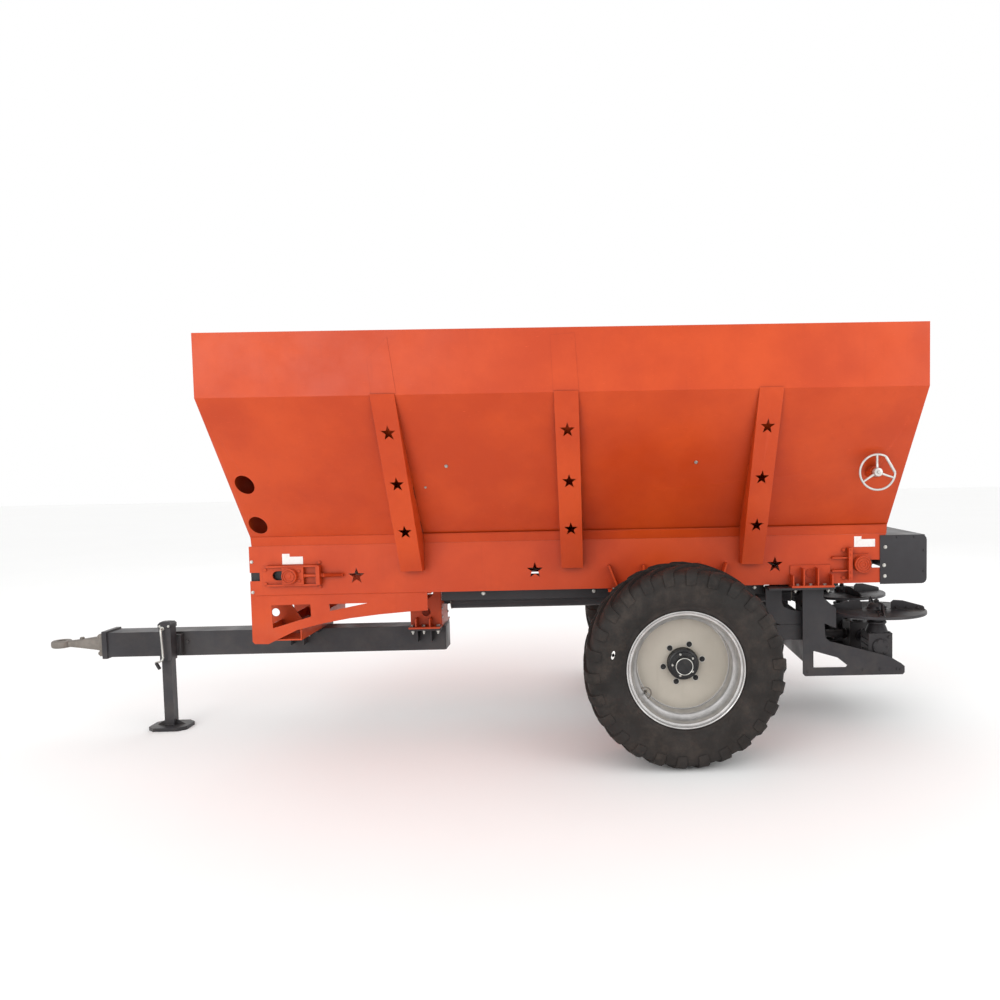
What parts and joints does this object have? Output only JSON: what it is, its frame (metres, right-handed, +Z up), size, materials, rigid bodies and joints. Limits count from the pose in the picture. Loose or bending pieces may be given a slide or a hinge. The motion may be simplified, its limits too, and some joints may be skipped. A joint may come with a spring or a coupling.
{
  "type": "manure spreader",
  "caption": "Trailed single-axle manure spreader with a V-shaped hopper, floor conveyor, lifting rear gate and twin horizontal spreading discs.",
  "frame": {"origin": "middle of the footprint's bounding box, on the ground", "axes": "-X along the drawbar towards the tow eye, +X towards the spreading discs, -Y to the machine's left side, +Z up"},
  "size_m": [5.316, 2.264, 2.225],
  "materials": {
    "orange_paint": "satin",
    "dark_grey_paint": "satin",
    "tyre_rubber": "matte",
    "silver_paint": "satin",
    "zinc_steel": "zinc plated",
    "worn_steel": "worn"
  },
  "bodies": {
    "chassis": {"front_wall": "orange_paint", "front_skin": "orange_paint", "rear_wall": "orange_paint", "underframe": "dark_grey_paint", "conveyor_chain": "worn_steel", "conveyor_bed": "orange_paint", "front_idler_shaft": "worn_steel", "rear_drive_shaft": "worn_steel", "conveyor_reducer": "dark_grey_paint", "gate_frame": "orange_paint", "axle": "dark_grey_paint", "drawbar": "dark_grey_paint", "drawbar_front_bracket": "orange_paint", "drawbar_rear_bracket": "orange_paint", "tow_eye": "zinc_steel", "jack_tube": "dark_grey_paint", "jack_crank": "zinc_steel", "rear_frame_back": "dark_grey_paint", "rear_frame_shelf": "dark_grey_paint", "disc_drive": "dark_grey_paint", "rear_hood": "dark_grey_paint", "left_hopper_side": "orange_paint", "left_beam": "orange_paint", "left_chain_tensioner": "orange_paint", "left_drive_bearing": "orange_paint", "left_axle_pedestal": "orange_paint", "left_frame_bracket": "orange_paint", "left_rear_frame_plate": "dark_grey_paint", "left_disc_gearbox": "dark_grey_paint", "left_front_rib": "orange_paint", "left_middle_rib": "orange_paint", "left_rear_rib": "orange_paint", "right_hopper_side": "orange_paint", "right_beam": "orange_paint", "right_chain_tensioner": "orange_paint", "right_drive_bearing": "orange_paint", "right_axle_pedestal": "orange_paint", "right_frame_bracket": "orange_paint", "right_rear_frame_plate": "dark_grey_paint", "right_disc_gearbox": "dark_grey_paint", "right_front_rib": "orange_paint", "right_middle_rib": "orange_paint", "right_rear_rib": "orange_paint"},
    "left_wheel": {"left_tyre": "tyre_rubber", "left_rim": "silver_paint", "left_hub": "dark_grey_paint"},
    "right_wheel": {"right_tyre": "tyre_rubber", "right_rim": "silver_paint", "right_hub": "dark_grey_paint"},
    "left_spinner": {"left_disc": "dark_grey_paint"},
    "right_spinner": {"right_disc": "dark_grey_paint"},
    "shaft": {"drive_shaft": "dark_grey_paint"},
    "gate": {"rear_gate": "orange_paint"},
    "gate_control": {"gate_shaft": "zinc_steel", "handwheel": "zinc_steel"},
    "leg": {"jack_leg": "dark_grey_paint"}
  },
  "joints": [
    {"name": "left_wheel_turn", "type": "hinge", "parent": "chassis", "child": "left_wheel", "pos_m": [1.162, -0.93, 0.515], "axis": [0, 1, 0], "continuous": true},
    {"name": "right_wheel_turn", "type": "hinge", "parent": "chassis", "child": "right_wheel", "pos_m": [1.162, 0.93, 0.515], "axis": [0, 1, 0], "continuous": true},
    {"name": "left_disc_turn", "type": "hinge", "parent": "chassis", "child": "left_spinner", "pos_m": [2.378, -0.34, 0.661], "axis": [0, 0, 1], "continuous": true},
    {"name": "right_disc_turn", "type": "hinge", "parent": "chassis", "child": "right_spinner", "pos_m": [2.378, 0.34, 0.661], "axis": [0, 0, 1], "continuous": true},
    {"name": "drive_shaft_turn", "type": "hinge", "parent": "chassis", "child": "shaft", "pos_m": [1.162, 0, 0.716], "axis": [1, 0, 0], "continuous": true},
    {"name": "gate_lift", "type": "slide", "parent": "chassis", "child": "gate", "axis": [0, 0, 1], "range_m": [0, 0.31]},
    {"name": "handwheel_turn", "type": "hinge", "parent": "chassis", "child": "gate_control", "pos_m": [2.222, -0.81, 1.48], "axis": [0, 1, 0], "range_deg": [0, 400]},
    {"name": "jack_extend", "type": "slide", "parent": "chassis", "child": "leg", "axis": [0, 0, 1], "range_m": [0, 0.16]}
  ],
  "couplings": [
    {"joint": "right_disc_turn", "follows": "left_disc_turn", "ratio": -1},
    {"joint": "drive_shaft_turn", "follows": "left_disc_turn", "ratio": 1},
    {"joint": "handwheel_turn", "follows": "gate_lift", "rad_per_m": 22.5}
  ]
}
